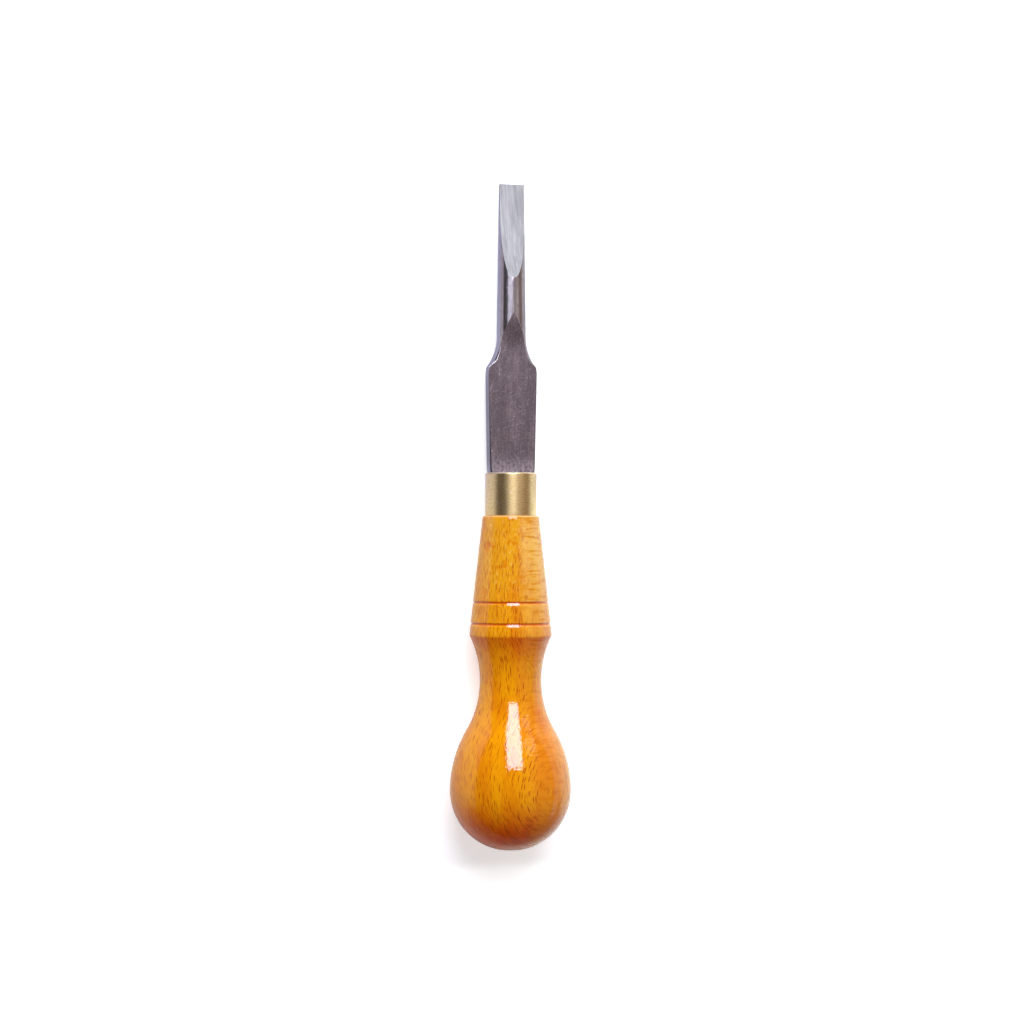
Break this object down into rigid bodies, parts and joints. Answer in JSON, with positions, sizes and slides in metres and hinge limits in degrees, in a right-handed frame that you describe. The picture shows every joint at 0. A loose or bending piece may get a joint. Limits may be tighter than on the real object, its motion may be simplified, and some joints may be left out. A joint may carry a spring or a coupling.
{
  "type": "flathead screwdriver",
  "caption": "Flathead screwdriver with a forged, flat-shouldered blade, a brass ferrule and a turned, lacquered wooden handle, for driving slotted screws by hand.",
  "frame": {"origin": "on the tool's axis, at the handle's ledge where the ferrule seats", "axes": "+Y along the tool's axis towards the tip, +Z square to the blade's flats, +X across the blade's width"},
  "size_m": [0.0318, 0.175, 0.0318],
  "materials": {
    "blade": "forged neck, ground flats and bright-ground tip, lightly oiled",
    "ferrule": "drawn tube, satin polish",
    "handle": "turned beech under gloss amber lacquer"
  },
  "bodies": {
    "root": {"blade": "blade", "ferrule": "ferrule", "handle": "handle"}
  },
  "joints": []
}
